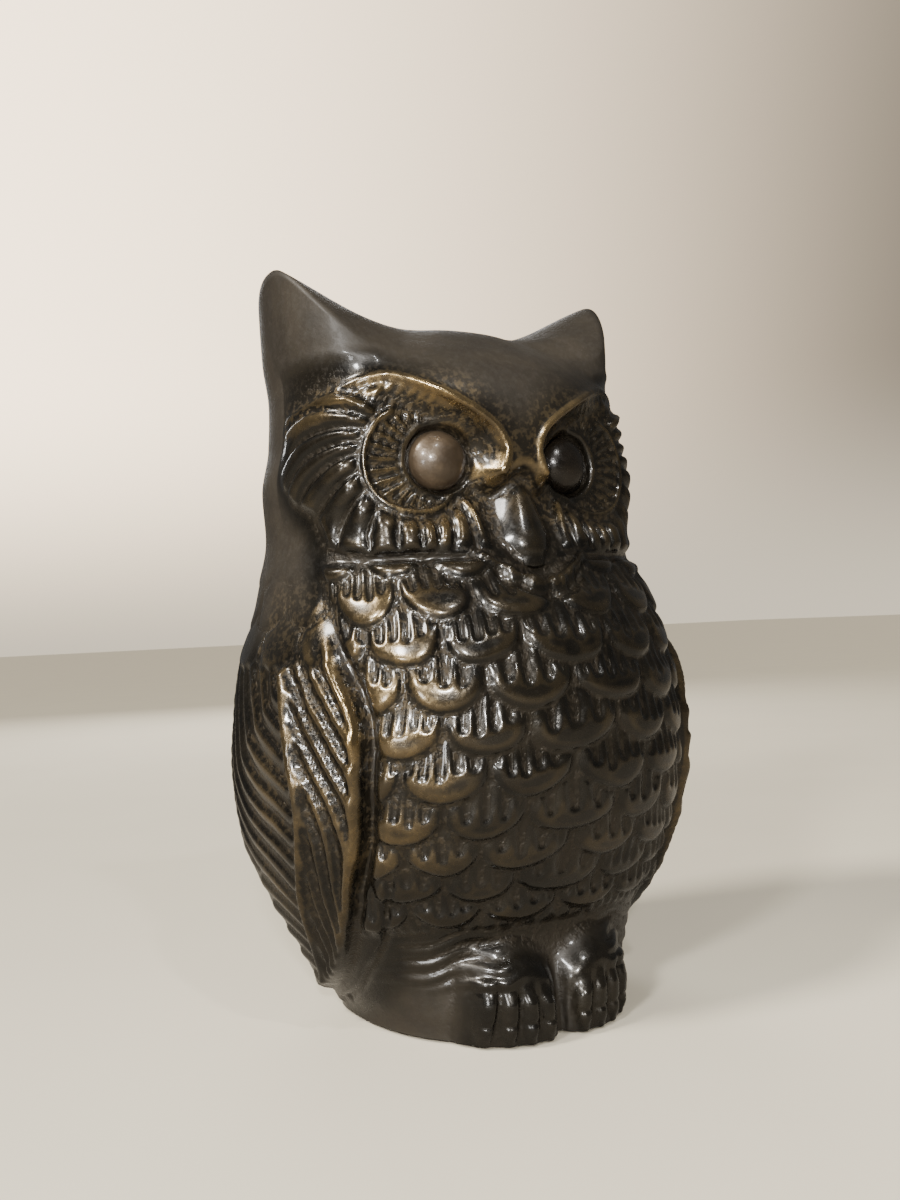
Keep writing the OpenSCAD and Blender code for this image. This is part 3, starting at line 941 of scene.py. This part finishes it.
def group(name, inputs, outputs):
    """An empty node group with float inputs and outputs; returns it and its two end nodes."""
    tree = bpy.data.node_groups.new(name, "ShaderNodeTree")
    for label in inputs:
        tree.interface.new_socket(label, in_out="INPUT", socket_type="NodeSocketFloat")
    for label in outputs:
        tree.interface.new_socket(label, in_out="OUTPUT", socket_type="NodeSocketFloat")
    return tree, tree.nodes.new("NodeGroupInput"), tree.nodes.new("NodeGroupOutput")


def noise(tree, scale, detail=2.0, rough=0.5, stretch=None):
    """Noise over the piece's own coordinates; scale counts features a metre."""
    place = put(tree, "ShaderNodeTexCoord").outputs["Object"]
    if stretch:
        place = put(tree, "ShaderNodeMapping", {"Vector": place}, Scale=stretch).outputs[0]
    made = put(tree, "ShaderNodeTexNoise", {"Vector": place}, Scale=scale, Detail=detail, Roughness=rough)
    return made.outputs[0]


def bumped(tree, height_value, strength, distance):
    """A normal that follows a height; distance is the depth of its marks in metres."""
    made = put(tree, "ShaderNodeBump", {"Height": height_value}, Strength=strength, Distance=distance)
    return made.outputs[0]


# %% Shared effects
grain_tree, _, grain_out = group("Cast grain", [], ["Height", "Mottle", "Speck"])
on_piece = put(grain_tree, "ShaderNodeTexCoord").outputs["Object"]
pits = put(grain_tree, "ShaderNodeTexVoronoi", {"Vector": on_piece}, Scale=1500.0).outputs["Distance"]
grains = maths(grain_tree, "MULTIPLY", pits, 0.3)
for scale, rough, weight in ((750, 0.6, 0.9), (3200, 0.65, 0.5)):
    grains = maths(grain_tree, "MULTIPLY_ADD", noise(grain_tree, scale, 3.0, rough), weight, grains)
feed(grain_tree, grain_out, {
    "Height": grains,
    "Mottle": span(grain_tree, noise(grain_tree, 160, 4.0, 0.6), 0.36, 0.66),
    "Speck": span(grain_tree, noise(grain_tree, 1400, 2.0, 0.7), 0.46, 0.62)})

# The Rubbed input is the rub mask: wear, with painted shade on the far side where it is cut back.
WEAR_NEEDS = ["Relief", "Rubbed", "Mottle", "Speck"]
wear_tree, wear_in, wear_out = group("Wear and dust", WEAR_NEEDS, ["Bright", "Dust"])
relief, rub_with_far_shade, mottle, speck = (wear_in.outputs[need] for need in WEAR_NEEDS)
edge_wear = span(wear_tree, maths(wear_tree, "MULTIPLY_ADD", rub_with_far_shade, 0.95, relief), 0.8, 1.75)
flecks = maths(wear_tree, "MULTIPLY", rub_with_far_shade, maths(wear_tree, "MULTIPLY", speck, 0.55))
patchy = maths(wear_tree, "MULTIPLY_ADD", mottle, 0.55, 0.3)
recesses = span(wear_tree, maths(wear_tree, "MULTIPLY", relief, -1.0), 0.12, 0.75)
feed(wear_tree, wear_out, {
    "Bright": maths(wear_tree, "MULTIPLY", maths(wear_tree, "ADD", edge_wear, flecks), patchy, clamp=True),
    "Dust": maths(wear_tree, "MULTIPLY", recesses, maths(wear_tree, "MULTIPLY_ADD", speck, 0.6, 0.4))})

brush_tree, _, brush_out = group("Brush marks", [], ["Height", "Shade"])
broad_marks = noise(brush_tree, 120, 3.0, 0.5, (1.0, 6.0, 6.0))
feed(brush_tree, brush_out, {
    "Height": noise(brush_tree, 260, 3.0, 0.6, (1.0, 22.0, 22.0)),
    "Shade": span(brush_tree, broad_marks, 0.3, 0.7)})
print("shared effects:", [tree.name for tree in bpy.data.node_groups])


# %% [markdown]
# The patina is a sulphide brown, almost black, with wax over it where the skin is carved. On
# the ridges it is rubbed through to a dull gold, less on the far side, where that cut is painted
# shade. In the recesses it is matt, with ochre dust left from the foundry. The plain head and
# plinth are a dull brown without wax, which the mask called carved tells apart. One eye is
# rubbed to a soft bronze; the far eye has a darker copy of it, which is painted shade. Both
# eye domes darken towards their edges with painted shade.

# %% Bronze
def material(name):
    """A new material; returns it with its tree and its shader."""
    made = bpy.data.materials.new(name)
    made.use_nodes = True
    return made, made.node_tree, made.node_tree.nodes["Principled BSDF"]


def use_group(tree, shared, links=None):
    """An instance of a shared effect."""
    return put(tree, "ShaderNodeGroup", links, node_tree=shared).outputs


def patinated(name, dark, brown, gold, dusty, plain, smooth, painted_rim_shade=False):
    """Waxed bronze: colours for the patina, its thin places, rub, dust and the dull plain skin, and
    optionally shade painted on the edges that turn from the camera.
    """
    made, tree, shader = material(name)
    grain = use_group(tree, grain_tree)
    relief, rub_with_far_shade, worked = (put(tree, "ShaderNodeAttribute", attribute_name=mask).outputs["Fac"]
                              for mask in ("relief", "rub_with_far_shade", "carved"))
    wear = use_group(tree, wear_tree, {
        "Relief": relief, "Rubbed": rub_with_far_shade, "Mottle": grain["Mottle"], "Speck": grain["Speck"]})
    dull = maths(tree, "SUBTRACT", 1.0, worked, clamp=True)
    skin = blend(tree, grain["Mottle"], tuple(0.78 * c for c in plain), tuple(1.12 * c for c in plain))
    if painted_rim_shade:
        # Painted shade: the skin darkens to the dark colour where the surface turns away from the camera.
        facing = put(tree, "ShaderNodeLayerWeight", Blend=0.5).outputs["Facing"]
        skin = blend(tree, span(tree, facing, 0.3, 0.8), skin, dark)
    colour = blend(tree, dull, blend(tree, grain["Mottle"], dark, brown), skin)
    colour = blend(tree, wear["Dust"], colour, dusty)
    rough = smooth      # rougher in dust, on specks and on the plain skin, smoother where it is bright
    for value, share in ((wear["Dust"], 0.3), (grain["Speck"], 0.1), (dull, 0.28), (wear["Bright"], -0.06)):
        rough = maths(tree, "MULTIPLY_ADD", value, share, rough, clamp=True)
    metal = maths(tree, "MULTIPLY_ADD", worked, 0.5, 0.1)
    rugged = maths(tree, "MULTIPLY_ADD", wear["Dust"], 1.3, 0.55)
    feed(tree, shader, {
        "Base Color": blend(tree, wear["Bright"], colour, gold),
        "Roughness": rough,
        "Metallic": maths(tree, "MULTIPLY_ADD", wear["Bright"], 0.4, metal, clamp=True),
        "Coat Weight": maths(tree, "MULTIPLY", worked, 0.55),
        "Normal": bumped(tree, maths(tree, "MULTIPLY", grain["Height"], rugged), 0.6, 0.00011)})
    shader.inputs["Coat Roughness"].default_value = 0.12
    return made


bronze = patinated(
    "Waxed bronze", dark=(0.0075, 0.0064, 0.0047), brown=(0.019, 0.0155, 0.0102),
    gold=(0.27, 0.19, 0.088), dusty=(0.021, 0.015, 0.0075), plain=(0.031, 0.0246, 0.0165), smooth=0.24)
eye_metal = patinated(
    "Rubbed eye bronze", dark=(0.03, 0.0205, 0.012), brown=(0.12, 0.085, 0.052),
    gold=(0.24, 0.165, 0.095), dusty=(0.03, 0.02, 0.012), plain=(0.075, 0.052, 0.031), smooth=0.2,
    painted_rim_shade=True)
# Painted shade: the far eye is a darker copy of the eye's bronze, for the eye on the side away from the
# light.
shaded_far_eye = patinated(
    "Shaded far eye bronze", dark=(0.008, 0.006, 0.0045), brown=(0.026, 0.019, 0.013),
    gold=(0.16, 0.11, 0.06), dusty=(0.03, 0.02, 0.012), plain=(0.012, 0.009, 0.006), smooth=0.1,
    painted_rim_shade=True)
for piece in (front, back):
    piece.data.materials.append(bronze)
for piece, finish in zip(eyes, (eye_metal, shaded_far_eye)):
    piece.data.materials.append(finish)


# %% [markdown]
# The base plate is sheet brass, brushed flat. The screws are turned from brass rod. The
# felt is a dense dark green wool.

# %% Brass and felt
def brass(name, colour, shade, strength):
    """Bare brass with brush marks."""
    made, tree, shader = material(name)
    marks = use_group(tree, brush_tree)
    grain = use_group(tree, grain_tree)
    feed(tree, shader, {
        "Base Color": blend(tree, marks["Shade"], colour, shade),
        "Roughness": maths(tree, "MULTIPLY_ADD", grain["Mottle"], 0.14, 0.26),
        "Normal": bumped(tree, marks["Height"], strength, 0.00004)})
    shader.inputs["Metallic"].default_value = 1.0
    return made


felt, felt_tree, felt_shader = material("Green felt")
fibres = noise(felt_tree, 2600, 4.0, 0.75)
tufts = span(felt_tree, noise(felt_tree, 420, 3.0, 0.6), 0.3, 0.7)
feed(felt_tree, felt_shader, {
    "Base Color": blend(felt_tree, tufts, (0.008, 0.036, 0.02), (0.017, 0.062, 0.035)),
    "Roughness": maths(felt_tree, "MULTIPLY_ADD", fibres, 0.1, 0.86),
    "Normal": bumped(felt_tree, fibres, 0.9, 0.0002)})
felt_shader.inputs["Sheen Weight"].default_value = 0.35

sheet_brass = brass("Brushed sheet brass", (0.62, 0.43, 0.17), (0.72, 0.52, 0.24), 0.5)
turned_brass = brass("Turned brass", (0.66, 0.47, 0.2), (0.74, 0.55, 0.27), 0.3)
for node, finish in (("base_plate", sheet_brass), ("plate_screws", turned_brass)):
    kept_part = bpy.data.objects[node]
    kept_part.data.materials.clear()
    kept_part.data.materials.append(finish)


# %% [markdown]
# The felt is cut with a knife, so its edge is square but soft. The pad's surface is an
# outline carried over a rounded edge, with a slight unevenness in its face.

# %% Felt pad
def felt_piece():
    """Rings over the pad's outline, from the middle below round the edge to the middle above."""
    turn = np.linspace(0, 360, 192, endpoint=False)
    wrapped = np.where(turn > 180, turn - 360, turn)
    behind = np.abs(wrapped) > 90
    folded = np.where(behind, 180 - np.abs(wrapped), np.abs(wrapped))
    x = (felt_high[0] - felt_low[0]) / 2 * np.sign(wrapped) * across(folded)
    y = np.where(behind, felt_high[1] - seam_y, felt_low[1] - seam_y) * along(folded)
    inwards = np.linspace(0.08, 0.97, 12)
    edge = np.array([0.985, 0.995, 1.0])
    share = np.concatenate([inwards, edge, edge[::-1], inwards[::-1]])[:, None]
    level = np.concatenate([np.zeros(12), [0.03, 0.1, 0.25, 0.75, 0.9, 0.97], np.ones(12)])[:, None]
    z = felt_low[2] + (felt_high[2] - felt_low[2]) * level
    ring = np.stack([share * x, seam_y + share * y, z + 0 * x], -1)
    dents = 0.025 * (hand(ring[..., 0] * 1.5, ring[..., 1] * 1.5, 4) - 1)
    ring[..., 2] += np.where(level > 0.5, dents, 0)
    points = np.concatenate([ring.reshape(-1, 3), [(0, seam_y, felt_low[2]), (0, seam_y, felt_high[2])]])
    faces = [f[:, ::-1] for f in wrapped_faces(*ring.shape[:2])]
    piece = new_mesh("felt_disc", points, faces)
    piece.data.materials.append(felt)
    return piece


pad = felt_piece()
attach(pad, "root")
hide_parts("felt_pad")
print("felt pad", [round(v, 2) for v in pad.dimensions / MM])

# %% [markdown]
# ## Stage, light and camera
# The figure stands on a pale floor in front of a pale wall, with light painted on it that falls
# off from the left to the right. Both are as pale as that only to the camera: to the bronze
# they are dimmer, or the light they send back would wash out the dark lower body.

# %% Stage
FLOOR_HALF = 4.0        # metres
floor_mesh = bpy.data.meshes.new("floor")
floor_corners = [(x * FLOOR_HALF, y * FLOOR_HALF, 0) for x, y in ((-1, -1), (1, -1), (1, 1), (-1, 1))]
floor_mesh.from_pydata(floor_corners, [], [(0, 1, 2, 3)])
floor = bpy.data.objects.new("floor", floor_mesh)
bpy.context.scene.collection.objects.link(floor)
pale, pale_tree, pale_shader = material("Pale floor")
weave = blend(pale_tree, noise(pale_tree, 30, 2.0), (0.73, 0.65, 0.50), (0.77, 0.69, 0.53))
seen_straight = put(pale_tree, "ShaderNodeLightPath").outputs["Is Camera Ray"]
feed(pale_tree, pale_shader, {"Base Color": blend(pale_tree, seen_straight, (0.28, 0.25, 0.20), weave)})
pale_shader.inputs["Roughness"].default_value = 0.9
pale_shader.inputs["Specular IOR Level"].default_value = 0.1
floor_mesh.materials.append(pale)

# %% Wall
RIGHTWARDS = (0.867, -0.498)        # level direction to the right of someone facing the figure
world = bpy.data.worlds.new("Studio")
world.use_nodes = True
sky = world.node_tree
direction = put(sky, "ShaderNodeTexCoord").outputs["Generated"]
away = put(sky, "ShaderNodeSeparateXYZ", {"Vector": direction}).outputs
to_right = maths(sky, "MULTIPLY", away["X"], RIGHTWARDS[0])
to_right = maths(sky, "MULTIPLY_ADD", away["Y"], RIGHTWARDS[1], to_right)
# Painted light: the wall is bright on the left and falls far darker to the right, as light falling off
# across it.
wall = blend(sky, span(sky, to_right, -0.5, 0.5), (4.4, 3.5, 2.5), (0.22, 0.192, 0.15))
backdrop_with_painted_falloff = blend(sky, span(sky, away["Z"], -0.02, 0.22), (0.98, 0.86, 0.665), wall)
seen = put(sky, "ShaderNodeBackground", {"Color": backdrop_with_painted_falloff}, Strength=1.0)
dim = sky.nodes["Background"]       # what lights the figure
dim.inputs["Color"].default_value = (0.9, 0.88, 0.84, 1)
dim.inputs["Strength"].default_value = 0.12
both = put(sky, "ShaderNodeMixShader", {"Fac": put(sky, "ShaderNodeLightPath").outputs["Is Camera Ray"]})
world_surface = sky.nodes["World Output"].inputs["Surface"]
for node, socket in ((dim, both.inputs[1]), (seen, both.inputs[2]), (both, world_surface)):
    sky.links.new(node.outputs[0], socket)
bpy.context.scene.world = world


# %% Lights
def aim(name, lamp, place, target):
    """Put a lamp at place and turn it to face target."""
    holder = bpy.data.objects.new(name, lamp)
    holder.location = place
    holder.rotation_mode = "QUATERNION"
    holder.rotation_quaternion = (Vector(target) - Vector(place)).to_track_quat("-Z", "Y")
    bpy.context.scene.collection.objects.link(holder)


def soft_box(name, place, size, power):
    """A square soft light facing the figure, in metres and watts."""
    lamp = bpy.data.lights.new(name, "AREA")
    lamp.size, lamp.energy = size, power
    aim(name, lamp, place, (0, 0, 0.04))


sun = bpy.data.lights.new("ceiling", "SUN")
sun.energy, sun.angle, sun.color = 3.2, np.radians(12), (1.0, 0.96, 0.90)
aim("ceiling", sun, (-0.75, 0.0, 0.8), (0, 0, 0))
soft_box("window", (-0.28, -0.20, 0.21), 0.04, 1.15)
soft_box("card", (-0.27, -0.20, 0.05), 0.05, 0.3)
soft_box("lamp", (-0.115, -0.22, 0.11), 0.014, 0.55)
soft_box("small lamp", (-0.02, -0.17, 0.22), 0.01, 0.16)
soft_box("back fill", (0.12, 0.42, 0.26), 0.25, 1.3)

# %% Camera
CAMERA_TURN, CAMERA_RISE, CAMERA_ROLL = -29.86, -1.26, -2.56     # degrees
CAMERA_AWAY, AIM_Z = 0.13, 0.0444       # metres
LENS = 33.86                            # millimetres
turn, lift = np.radians(CAMERA_TURN), np.radians(CAMERA_RISE)
back_way = Vector((np.sin(turn) * np.cos(lift), -np.cos(turn) * np.cos(lift), np.sin(lift)))
camera = bpy.data.cameras.new("camera")
camera.lens, camera.sensor_width = LENS, 36.0
camera.clip_start, camera.clip_end = 0.005, 20
eye = bpy.data.objects.new("camera", camera)
eye.rotation_mode = "QUATERNION"
eye.location = Vector((0, seam_y * MM, AIM_Z)) + back_way * CAMERA_AWAY
roll = Matrix.Rotation(np.radians(CAMERA_ROLL), 4, "Z").to_quaternion()
eye.rotation_quaternion = (-back_way).to_track_quat("-Z", "Y") @ roll
bpy.context.scene.collection.objects.link(eye)
bpy.context.scene.camera = eye
